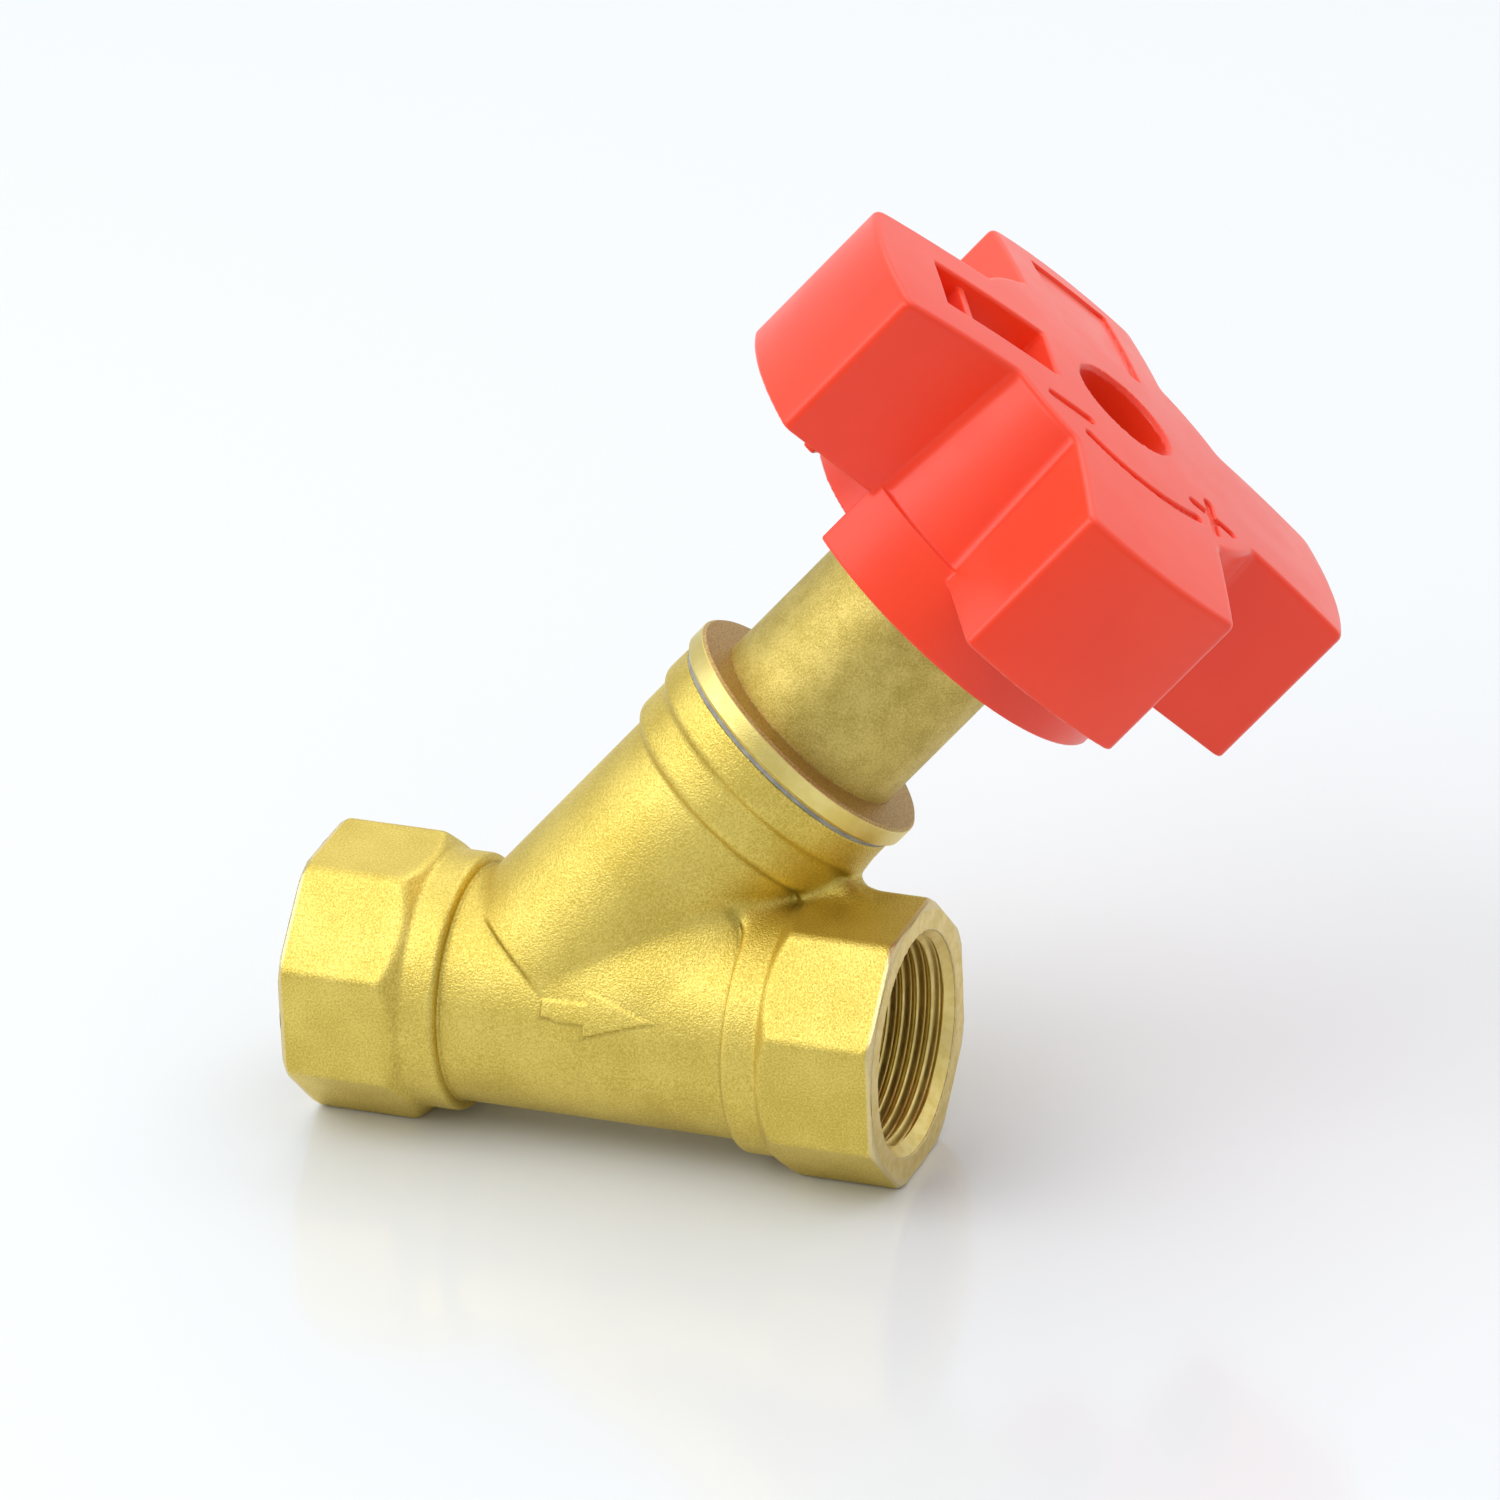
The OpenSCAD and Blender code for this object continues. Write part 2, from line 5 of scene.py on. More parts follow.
import bmesh
import bpy
import numpy as np
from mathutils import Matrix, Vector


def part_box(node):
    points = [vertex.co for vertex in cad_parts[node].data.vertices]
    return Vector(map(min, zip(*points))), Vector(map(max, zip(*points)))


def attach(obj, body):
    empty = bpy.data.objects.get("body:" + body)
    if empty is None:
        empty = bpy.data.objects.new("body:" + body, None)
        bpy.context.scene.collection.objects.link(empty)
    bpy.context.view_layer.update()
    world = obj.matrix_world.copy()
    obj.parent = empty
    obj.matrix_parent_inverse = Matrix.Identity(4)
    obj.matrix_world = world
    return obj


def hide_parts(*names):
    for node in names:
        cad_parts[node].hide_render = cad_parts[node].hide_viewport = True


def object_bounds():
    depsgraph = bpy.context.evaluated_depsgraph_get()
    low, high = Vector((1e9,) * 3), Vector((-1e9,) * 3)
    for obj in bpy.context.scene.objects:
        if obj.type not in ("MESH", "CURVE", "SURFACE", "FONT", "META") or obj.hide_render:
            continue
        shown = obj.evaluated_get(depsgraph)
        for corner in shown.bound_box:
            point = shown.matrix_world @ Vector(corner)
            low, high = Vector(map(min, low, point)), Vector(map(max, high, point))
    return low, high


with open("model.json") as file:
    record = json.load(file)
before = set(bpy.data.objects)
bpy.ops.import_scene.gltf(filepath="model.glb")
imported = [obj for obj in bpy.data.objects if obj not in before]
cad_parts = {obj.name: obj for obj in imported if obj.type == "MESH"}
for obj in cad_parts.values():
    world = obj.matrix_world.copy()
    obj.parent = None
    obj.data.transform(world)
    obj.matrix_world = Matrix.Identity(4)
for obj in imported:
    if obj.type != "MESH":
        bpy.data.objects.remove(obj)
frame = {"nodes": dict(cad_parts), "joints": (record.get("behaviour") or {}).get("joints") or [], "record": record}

import openvdb
from mathutils import Matrix, Vector

cad_low, cad_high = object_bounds()
MM = 0.001
joints = {joint["name"]: joint for joint in frame["joints"]}

# ---------------------------------------------------------------- the CAD's own axes, in millimetres
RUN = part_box("body")[1].x / MM
AXIS = np.array(joints["handwheel_turn"]["axis"], float)
AXIS /= np.linalg.norm(AXIS)
ON_AXIS = np.array(joints["handwheel_turn"]["pos_m"], float) / MM
CROSSING = ON_AXIS - AXIS * (ON_AXIS[2] / AXIS[2])
IDLER = np.array(joints["idler_spin"]["pos_m"], float) / MM - CROSSING
WHEEL_X = IDLER - AXIS * (IDLER @ AXIS)
WHEEL_X /= np.linalg.norm(WHEEL_X)
WHEEL_Y = np.cross(AXIS, WHEEL_X)
SIDE = np.cross(AXIS, [1.0, 0.0, 0.0])
SIDE /= np.linalg.norm(SIDE)
DOWN = np.cross(SIDE, AXIS)
LEAN = math.asin(AXIS[1] / math.hypot(AXIS[1], AXIS[2]))

# ------------------------------------------------------------ dimensions of the body, in millimetres
HALF_FLAT = 16.25
CORNER_R = HALF_FLAT / math.cos(math.pi / 8)
PORT_LENGTH = 13.0
FACE_R = 16.9
COLLAR_R = 15.6
COLLAR_END = 19.4
TUBE_R = 14.25
ARROW_X = 32.6
ARROW_TURN = 21.3
ARROW_LENGTH = 14.0
ARROW_BARB = 5.7
ARROW_HALF_HEAD = 2.4
THREAD_MAJOR_R = 13.22
THREAD_MINOR_R = 12.2
THREAD_PITCH = 1.814
BEHIND_THREAD_R = 13.6
BORE_DEPTH = 14.0
MOUTH_R = 13.8
PASSAGE_R = 10.0
OUTLET_PASSAGE_R = 10.4

# Along the branch, from the run axis
BRANCH_R = 14.5
BRANCH_FOOT = 4.3
BRANCH_TOP = 43.4
RING_R = 15.7
TOP_RING_R = 16.5
CHAMBER_R = 11.2
CHAMBER_TOP = 33.5
SOCKET_R = 13.0
SEAT_R = 8.8
SEAT = -2.0
SEAT_WALL = 3.5

# ------------------------------------------------------------ dimensions of the handwheel, in millimetres
WHEEL_R = 37.6
WHEEL_EDGE = 0.9
LOBE_HALF = 11.7
LOBE_Z = 77.7
CROWN_Z = 101.4
CROWN_RISE = 2.5
CROWN_R = (WHEEL_R ** 2 + CROWN_RISE ** 2) / (2 * CROWN_RISE)
HUB_FOOT_R = 23.9
HUB_TAPER = 1.5
HUB_CAVITY_R = 20.7
WALL = 1.8
CEILING_Z = 96.2
PLATE_TOP = 79.3
SKIRT_R = 24.4
SKIRT_FOOT = 69.5
SKIRT_MID_R = 23.55
SKIRT_HALF_WALL = 0.85
SKIRT_TURN = 3.3
SKIRT_HALF_OPENING = 29.15
BACK_TAB_TRIM = 3.5
HUB_TUBE_R = 8.6
HUB_FLOOR = 90.0
ACCESS_R = 7.0
DRIVE_FLATS = 8.7
WINDOW_START = 12.2
WINDOW_HALF = 5.1
LABEL_START = 14.0
LABEL_END = 32.7
LABEL_HALF = 6.2
LABEL_DEPTH = 0.5
MARK_DEPTH = 0.55
DIAL_FACE = 95.42
ROOT_HALF = math.sqrt(0.5)


# ---------------------------------------------------------------- distance fields
def soft_min(a, b, r):
    h = np.maximum(r - np.abs(a - b), 0.0) / r
    return np.minimum(a, b) - h * h * r * 0.25


def soft_max(a, b, r):
    return -soft_min(-a, -b, r)


def step(x, low, high):
    t = np.clip((x - low) / (high - low), 0.0, 1.0)
    return t * t * (3 - 2 * t)


def along(x, y, z, direction, origin):
    return (x - origin[0]) * direction[0] + (y - origin[1]) * direction[1] + (z - origin[2]) * direction[2]


def octagon(y, z, r):
    square = soft_max(np.abs(y), np.abs(z), r)
    turned = soft_max(np.abs(y + z) * ROOT_HALF, np.abs(y - z) * ROOT_HALF, r)
    return soft_max(square, turned, r) - HALF_FLAT


def port(end, flats, radius):
    """One octagonal port with its collar; end is the distance in from the port's face."""
    back = (end + radius - PORT_LENGTH - CORNER_R) * ROOT_HALF
    block = soft_max(flats, back, 0.5)
    block = soft_max(block, (radius - FACE_R - end) * ROOT_HALF, 0.3)
    collar = soft_max(radius - COLLAR_R, end - COLLAR_END, 0.9)
    return np.maximum(soft_min(block, collar, 0.3), 0.012 - end)


def arrow(x, y, z, radius):
    """Raised flow arrow on the tube, its tip towards the outlet, fading towards its upper side."""
    turn = np.arctan2(z, -y) - math.radians(ARROW_TURN)
    across = np.abs(turn) * TUBE_R
    rise = 0.27 - 0.06 * turn * TUBE_R
    far = x - ARROW_X
    shaft = np.maximum(across - 1.03, np.maximum(-far, far - 7.0))
    head_length = ARROW_LENGTH - ARROW_BARB - 0.1
    slant = math.hypot(head_length, ARROW_HALF_HEAD)
    flank = (across * head_length + (far - ARROW_LENGTH) * ARROW_HALF_HEAD) / slant
    head = np.maximum(flank, ARROW_BARB - far)
    return soft_max(np.minimum(shaft, head), radius - TUBE_R - rise, 0.25)


def run_outside(x, y, z, radius):
    """Both ports, the tube between them and its arrow."""
    flats = octagon(y, z, 0.6)
    run = soft_min(port(x, flats, radius), port(RUN - x, flats, radius), 0.5)
    tube = np.maximum(radius - TUBE_R, np.abs(x - RUN / 2) - RUN / 2 + 6)
    run = soft_min(run, tube, 0.35)
    return soft_min(run, arrow(x, y, z, radius), 0.25)


def branch_outside(s, rho):
    """The branch with its two stepped rings."""
    stem = soft_max(rho - BRANCH_R, BRANCH_FOOT - s, 0.5)
    ring = soft_max(soft_max(rho - RING_R, 33.3 - s, 1.6), s - 41, 0.5)
    top = soft_max(rho - TOP_RING_R, 39.2 - s, 0.8)
    stem = soft_min(soft_min(stem, ring, 0.5), top, 1.2)
    return soft_max(stem, s - BRANCH_TOP, 0.25)


def gusset(x, y, z):
    """The web between the branch and the outlet port."""
    up = y * math.sin(LEAN) + z * math.cos(LEAN)
    across = y * math.cos(LEAN) - z * math.sin(LEAN)
    web = soft_max((up - 17.6 - (x - 61.5) * 0.5) * 0.89, np.abs(across) - 2.6, 2.5)
    web = soft_max(web, (x - 64.2) * 0.8 + (up - 19.0) * 0.6, 2.0)
    return np.maximum(np.maximum(web, 46 - x), 8 - up)


def passages(x, radius, s, rho):
    """Everything bored or cored out of the body."""
    bore = np.maximum(radius - BEHIND_THREAD_R, np.minimum(x, RUN - x) - BORE_DEPTH)
    inlet = np.maximum(np.maximum(radius - PASSAGE_R, x - 47), s - SEAT + SEAT_WALL)
    outlet = np.maximum(np.maximum(radius - OUTLET_PASSAGE_R, 27.5 - x), SEAT - s)
    chamber = np.maximum(rho - CHAMBER_R, np.maximum(SEAT - s, s - CHAMBER_TOP))
    seat = np.maximum(rho - SEAT_R, np.abs(s + 3.8) - 2.0)
    socket = np.maximum(rho - SOCKET_R, 33.4 - s)
    hollow = np.minimum(np.minimum(bore, inlet), np.minimum(outlet, chamber))
    return np.minimum(hollow, np.minimum(seat, socket))


def casting(x, y, z):
    """The brass body, with a wider blend where the branch meets the run on its outlet side."""
    radius = np.sqrt(y * y + z * z)
    s = along(x, y, z, AXIS, CROSSING)
    u = along(x, y, z, DOWN, CROSSING)
    v = along(x, y, z, SIDE, CROSSING)
    rho = np.sqrt(u * u + v * v)
    blend = 0.7 + 5.0 * step(u, 2.0, 13.0) * (1 - 0.75 * step(s, 24.0, 33.0))
    whole = soft_min(run_outside(x, y, z, radius), branch_outside(s, rho), blend)
    whole = soft_min(whole, gusset(x, y, z), 3.0)
    return np.maximum(whole, -passages(x, radius, s, rho))


def hexagon(x, y, across_flats):
    a, b = 0.5 * x, math.sqrt(0.75) * y
    return np.maximum(np.abs(x), np.maximum(np.abs(a + b), np.abs(a - b))) - across_flats / 2


def box_field(x, y, z, low, high, r=0.2):
    mid = [(a + b) / 2 for a, b in zip(low, high)]
    half = [(b - a) / 2 for a, b in zip(low, high)]
    d = soft_max(np.abs(x - mid[0]) - half[0], np.abs(y - mid[1]) - half[1], r)
    return soft_max(d, np.abs(z - mid[2]) - half[2], r)


def groove(x, y, path, half_width):
    """Distance to a stroke along the points of path."""
    best = None
    for (ax, ay), (bx, by) in zip(path, path[1:]):
        lx, ly = bx - ax, by - ay
        t = np.clip(((x - ax) * lx + (y - ay) * ly) / (lx * lx + ly * ly), 0, 1)
        d = np.hypot(x - ax - t * lx, y - ay - t * ly)
        best = d if best is None else np.minimum(best, d)
    return best - half_width


def arc_path(radius, start, end, count=16):
    turns = np.radians(np.linspace(start, end, count))
    return [(radius * math.cos(t), radius * math.sin(t)) for t in turns]


def legend(x, y):
    """Engraved marks on the crown: close and open signs and the arc between them."""
    minus = groove(x, y, [(-14.0, -11.6), (-8.4, -11.6)], 0.75)
    level = groove(x, y, [(8.6, -12.2), (15.0, -12.2)], 0.7)
    upright = groove(x, y, [(11.8, -15.4), (11.8, -9.0)], 0.7)
    arc = groove(x, y, arc_path(18.1, 240, 298), 0.65)
    return np.minimum(np.minimum(minus, arc), np.minimum(level, upright))


def lobes(x, y, s, radius, crown):
    """Four lobes round a tapered hub under the crowned top, hollow from below."""
    bar_x = soft_max(np.abs(y) - LOBE_HALF, radius - WHEEL_R, WHEEL_EDGE)
    bar_y = soft_max(np.abs(x) - LOBE_HALF, radius - WHEEL_R, WHEEL_EDGE)
    cross = np.minimum(bar_x, bar_y)
    hub = radius - HUB_FOOT_R + (s - LOBE_Z) * HUB_TAPER / (CROWN_Z - LOBE_Z)
    outer = soft_max(soft_max(soft_min(cross, hub, 0.9), crown, WHEEL_EDGE), LOBE_Z - s, 0.6)
    inner = np.minimum(cross + WALL, radius - HUB_CAVITY_R)
    hollow = np.maximum(inner, np.maximum(s - CEILING_Z, LOBE_Z - 1 - s))
    return np.maximum(outer, -hollow)


def skirt(x, y, s, radius):
    """Flange plate with the two tabs under it; the back tab is a little shorter than the front one."""
    plate = np.maximum(radius - SKIRT_R, HUB_CAVITY_R - radius)
    plate = np.maximum(plate, np.maximum(LOBE_Z - s, s - PLATE_TOP))
    turn = np.degrees(np.arctan2(y, x)) + SKIRT_TURN
    turn = 90 - np.abs(np.abs(turn % 180) - 90)
    tabs = soft_max(np.abs(radius - SKIRT_MID_R) - SKIRT_HALF_WALL, SKIRT_FOOT - s, 0.4)
    tabs = np.maximum(tabs, s - LOBE_Z - 0.1)
    opening = (SKIRT_HALF_OPENING + BACK_TAB_TRIM * (y > 0) - turn) * math.radians(1) * 23.5
    return np.minimum(plate, soft_max(tabs, opening, 0.4))


def reading_window(out, side, s):
    """Opening that is deep over the dials and shallow further out, with a bar across it."""
    deep = box_field(out, side, s, (WINDOW_START, -WINDOW_HALF, 93.0), (20.7, WINDOW_HALF, 104.0), 0.5)
    shallow = box_field(out, side, s, (WINDOW_START, -WINDOW_HALF, 96.0), (28.7, WINDOW_HALF, 104.0), 0.5)
    bar = box_field(out, side, s, (23.2, -6.0, 95.0), (24.4, 6.0, 99.2), 0.4)
    return np.maximum(np.minimum(deep, shallow), -bar)


def wheel(x, y, s):
    """The handwheel, in its own frame."""
    radius = np.sqrt(x * x + y * y)
    crown = np.sqrt(radius * radius + (s - CROWN_Z + CROWN_R) ** 2) - CROWN_R
    shell = soft_min(lobes(x, y, s, radius, crown), skirt(x, y, s, radius), 0.35)
    collar = np.maximum(np.abs(radius - 21.95) - 0.8, np.maximum(73.1 - s, s - PLATE_TOP))
    tube = np.maximum(radius - HUB_TUBE_R, np.maximum(HUB_FLOOR - s, s - 97.5))
    ledge = box_field(-x, -y, s, (20.0, -6.1, 94.0), (29.7, 6.1, 97.0))
    shell = np.minimum(np.minimum(shell, collar), np.minimum(tube, ledge))
    access = np.maximum(radius - ACCESS_R - np.maximum(s - 100.6, 0) * 0.5, HUB_FLOOR + 2.4 - s)
    drive = np.maximum(hexagon(x, y, DRIVE_FLATS), s - 93.4)
    shell = np.maximum(shell, -np.minimum(access, drive))
    shell = soft_max(shell, -reading_window(-x, -y, s), 0.5)
    label = box_field(y, -x, s, (LABEL_START, -LABEL_HALF, CEILING_Z), (LABEL_END, LABEL_HALF, 104.0), 0.6)
    shell = soft_max(shell, -np.maximum(label, -crown - LABEL_DEPTH), 0.25)
    mark = np.maximum(legend(x, y), -crown - MARK_DEPTH)
    return soft_max(shell, -mark, 0.3)


# ---------------------------------------------------------------- meshes
CREASE_REACH = 0.6
EDGE_REACH = 0.5


def mesh_from(name, points, faces_by_size):
    mesh = bpy.data.meshes.new(name)
    mesh.vertices.add(len(points))
    mesh.vertices.foreach_set("co", np.asarray(points, np.float32).ravel())
    loops = np.concatenate([f.ravel() for f in faces_by_size])
    totals = np.concatenate([np.full(len(f), f.shape[1]) for f in faces_by_size])
    starts = np.concatenate([[0], np.cumsum(totals)[:-1]])
    mesh.loops.add(len(loops))
    mesh.loops.foreach_set("vertex_index", loops.astype(np.int32))
    mesh.polygons.add(len(totals))
    mesh.polygons.foreach_set("loop_start", starts.astype(np.int32))
    mesh.polygons.foreach_set("loop_total", totals.astype(np.int32))
    mesh.update(calc_edges=True)
    mesh.validate()
    obj = bpy.data.objects.new(name, mesh)
    bpy.context.scene.collection.objects.link(obj)
    return obj


def slope(field, p, h=0.04):
    grad = np.empty_like(p)
    for i in range(3):
        a, b = p.copy(), p.copy()
        a[:, i] -= h
        b[:, i] += h
        grad[:, i] = field(*b.T) - field(*a.T)
    return grad / np.maximum(np.linalg.norm(grad, axis=1, keepdims=True), 1e-9)


def pulled(field, p, most):
    """Points moved onto the zero surface of field, by no more than most."""
    return p - slope(field, p) * np.clip(field(*p.T), -most, most)[:, None]


def hollowness(field, p, normal, reach):
    """How much of the space that far above the surface is taken up: 0 on a flat face, more in a crease."""
    return 1 - field(*(p + normal * reach).T) / reach


def sharpness(field, p, normal, reach):
    """How near that depth under the surface is to another face: 0 on a flat face, more at an edge."""
    return 1 + field(*(p - normal * reach).T) / reach


def thinned(name, points, faces, limit, plain):
    """Points and triangles of that mesh, collapsed to about limit faces, mostly at the plain points."""
    obj = mesh_from(name, points, faces)
    group = obj.vertex_groups.new(name="plain")
    group.add(np.flatnonzero(plain).tolist(), 1.0, "REPLACE")
    thin = obj.modifiers.new("thin", "DECIMATE")
    thin.vertex_group = "plain"
    thin.vertex_group_factor = 1.0
    thin.ratio = min(1.0, limit / (2 * len(obj.data.polygons)))
    thin.use_collapse_triangulate = True
    graph = bpy.context.evaluated_depsgraph_get()
    mesh = bpy.data.meshes.new_from_object(obj.evaluated_get(graph))
    mesh.calc_loop_triangles()
    points = np.empty(len(mesh.vertices) * 3)
    mesh.vertices.foreach_get("co", points)
    corners = np.empty(len(mesh.loop_triangles) * 3, np.int32)
    mesh.loop_triangles.foreach_get("vertices", corners)
    bpy.data.objects.remove(obj)
    bpy.data.meshes.remove(mesh)
    return points.reshape(-1, 3), corners.reshape(-1, 3)


def solid(name, field, low, high, cell, limit, place):
    """Meshes the zero surface of field, and takes the shading, creases and edges from it."""
    axes = [np.arange(a, b, cell, dtype=np.float32) for a, b in zip(low, high)]
    values = field(axes[0][:, None, None], axes[1][None, :, None], axes[2][None, None, :])
    values = np.clip(values, -3 * cell, 3 * cell).astype(np.float32)
    grid = openvdb.FloatGrid()
    grid.background = 3 * cell
    grid.copyFromArray(values)
    points, triangles, quads = grid.convertToPolygons(isovalue=0.0, adaptivity=0.0)
    faces = [f[:, ::-1] for f in (triangles, quads) if len(f)]
    p = pulled(field, points.astype(np.float64) * cell + np.array(low, float), 0.5 * cell)
    normal = slope(field, p)
    shaped = np.maximum(hollowness(field, p, normal, 1.4), sharpness(field, p, normal, 0.8))
    p, corners = thinned(name, p, faces, limit, shaped < 0.06)
    for _ in range(2):
        p = pulled(field, p, 0.3 * cell)
    normal = slope(field, p)
    start = place(np.zeros(3))
    axes_placed = np.array([place(v) for v in np.eye(3)]) - start
    obj = mesh_from(name, (p @ axes_placed + start) * MM, [corners])
    first = obj.data.polygons[0]
    if np.dot(np.array(first.normal), normal[first.vertices[0]] @ axes_placed) < 0:
        obj.data.flip_normals()
    obj.data.shade_smooth()
    obj.data.normals_split_custom_set_from_vertices((normal @ axes_placed).tolist())
    # crease and edge drive the painted shade in creases and the painted highlights on edges of the brass colour
    crease = hollowness(field, p, normal, CREASE_REACH)
    edge = sharpness(field, p, normal, EDGE_REACH)
    for key, values in (("crease", crease), ("edge", edge)):
        layer = obj.data.attributes.new(key, "FLOAT", "POINT")
        layer.data.foreach_set("value", np.clip(values, 0, 1).astype(np.float32))
    print(name, len(points), "points, thinned to", len(p), "points and", len(corners), "faces")
    return obj


def same(p):
    return p


def on_wheel(p):
    return CROSSING + p[0] * WHEEL_X + p[1] * WHEEL_Y + p[2] * AXIS


def lathe_rows(rows, columns):
    """Faces between neighbouring rows of points."""
    index = np.arange(columns - 1)
    faces = []
    for k in range(rows - 1):
        a = k * columns + index
        faces.append(np.stack([a, a + 1, a + 1 + columns, a + columns], 1))
    return np.concatenate(faces)


def thread_rows(inward, turns):
    """Depth and radius of each row of points, from the port's face over the thread to the bore floor."""
    steps, deep, run_out = 16, 13.4, 12.1
    columns = len(turns)
    rows = [(np.zeros(columns), np.full(columns, 16.1)), (np.zeros(columns), np.full(columns, MOUTH_R))]
    for k in range(-steps - 2, int(steps * (deep / THREAD_PITCH + 1)) + 2):
        far = np.clip(THREAD_PITCH * (k / steps + inward * turns / (2 * math.pi)), 0, deep)
        crest = 0.5 - 0.5 * math.cos(2 * math.pi * k / steps)
        r = THREAD_MAJOR_R - (THREAD_MAJOR_R - THREAD_MINOR_R) * crest
        r = np.maximum(r, MOUTH_R - far * 0.9)
        rows.append((far, np.maximum(r, THREAD_MINOR_R + np.maximum(0, far - run_out) * 0.9)))
    floor_depth = BORE_DEPTH - 0.02
    for far, r in ((deep, THREAD_MAJOR_R), (floor_depth, THREAD_MAJOR_R), (floor_depth, PASSAGE_R + 0.1)):
        rows.append((np.full(columns, far), np.full(columns, r)))
    return rows


def thread(name, mouth, inward):
    """Threaded bore of one port: face ring, countersink, right-hand thread and bore floor."""
    turns = np.linspace(0, 2 * math.pi, 193)
    rows = thread_rows(inward, turns)
    points = [np.stack([mouth + inward * far, r * np.cos(turns), r * np.sin(turns)], 1) for far, r in rows]
    obj = mesh_from(name, np.concatenate(points) * MM, [lathe_rows(len(rows), len(turns))])
    work = bmesh.new()
    work.from_mesh(obj.data)
    bmesh.ops.remove_doubles(work, verts=work.verts, dist=0.004 * MM)
    bmesh.ops.recalc_face_normals(work, faces=work.faces)
    work.to_mesh(obj.data)
    work.free()
    inner = min(obj.data.polygons, key=lambda f: abs(f.center.x - (mouth + inward * 7) * MM))
    if inner.normal.dot(Vector((0, inner.center.y, inner.center.z))) > 0:
        obj.data.flip_normals()
    obj.data.shade_smooth()
    obj.data.set_sharp_from_angle(angle=math.radians(42))
    return obj


def text_ring(name, body, radius, size, sense, material):
    """Digits 0 to 9 standing on a dial, 0 under the closed window; sense is 1 or -1, the way they run."""
    made = []
    for k in range(10):
        curve = bpy.data.curves.new(f"{name}_{k}", "FONT")
        curve.body = str(k)
        curve.size = size * MM
        curve.align_x, curve.align_y = "CENTER", "CENTER"
        curve.extrude = 0.04 * MM
        digit = bpy.data.objects.new(f"{name}_{k}", curve)
        bpy.context.scene.collection.objects.link(digit)
        turn = math.radians(180 + sense * 36 * k)
        out = math.cos(turn) * WHEEL_X + math.sin(turn) * WHEEL_Y
        across = np.cross(out, AXIS)
        at = (CROSSING + AXIS * DIAL_FACE + out * radius) * MM
        basis = np.stack([across, out, AXIS], 1)
        digit.matrix_world = Matrix([[*basis[i], at[i]] for i in range(3)] + [[0, 0, 0, 1]])
        made.append(digit)
    bpy.context.view_layer.update()
    graph = bpy.context.evaluated_depsgraph_get()
    merged = bmesh.new()
    for digit in made:
        mesh = bpy.data.meshes.new_from_object(digit.evaluated_get(graph))
        mesh.transform(digit.matrix_world)
        merged.from_mesh(mesh)
        bpy.data.meshes.remove(mesh)
        bpy.data.objects.remove(digit)
    mesh = bpy.data.meshes.new(name)
    merged.to_mesh(mesh)
    merged.free()
    obj = bpy.data.objects.new(name, mesh)
    bpy.context.scene.collection.objects.link(obj)
    obj.data.materials.append(material)
    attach(obj, body)


# ---------------------------------------------------------------- materials
# Painted shade: creases take this share of the dark brass colour.
PAINTED_CREASE_SHADE = 0.42
# Painted highlight: edges take the light brass colour brightened by this factor.
PAINTED_EDGE_HIGHLIGHT = 1.12
MACHINED_FACE = (0.76, 0.62, 0.30)
RIM_TOP = 46.62
SEAT_TOP = 47.1


def map_range(tree, value, kind, low, high, out_low, out_high):
    """Maps low to high of that value onto out_low to out_high."""
    node = tree.nodes.new("ShaderNodeMapRange")
    node.interpolation_type = kind
    for key, number in (("From Min", low), ("From Max", high), ("To Min", out_low), ("To Max", out_high)):
        node.inputs[key].default_value = number
    tree.links.new(value, node.inputs["Value"])
    return node.outputs["Result"]


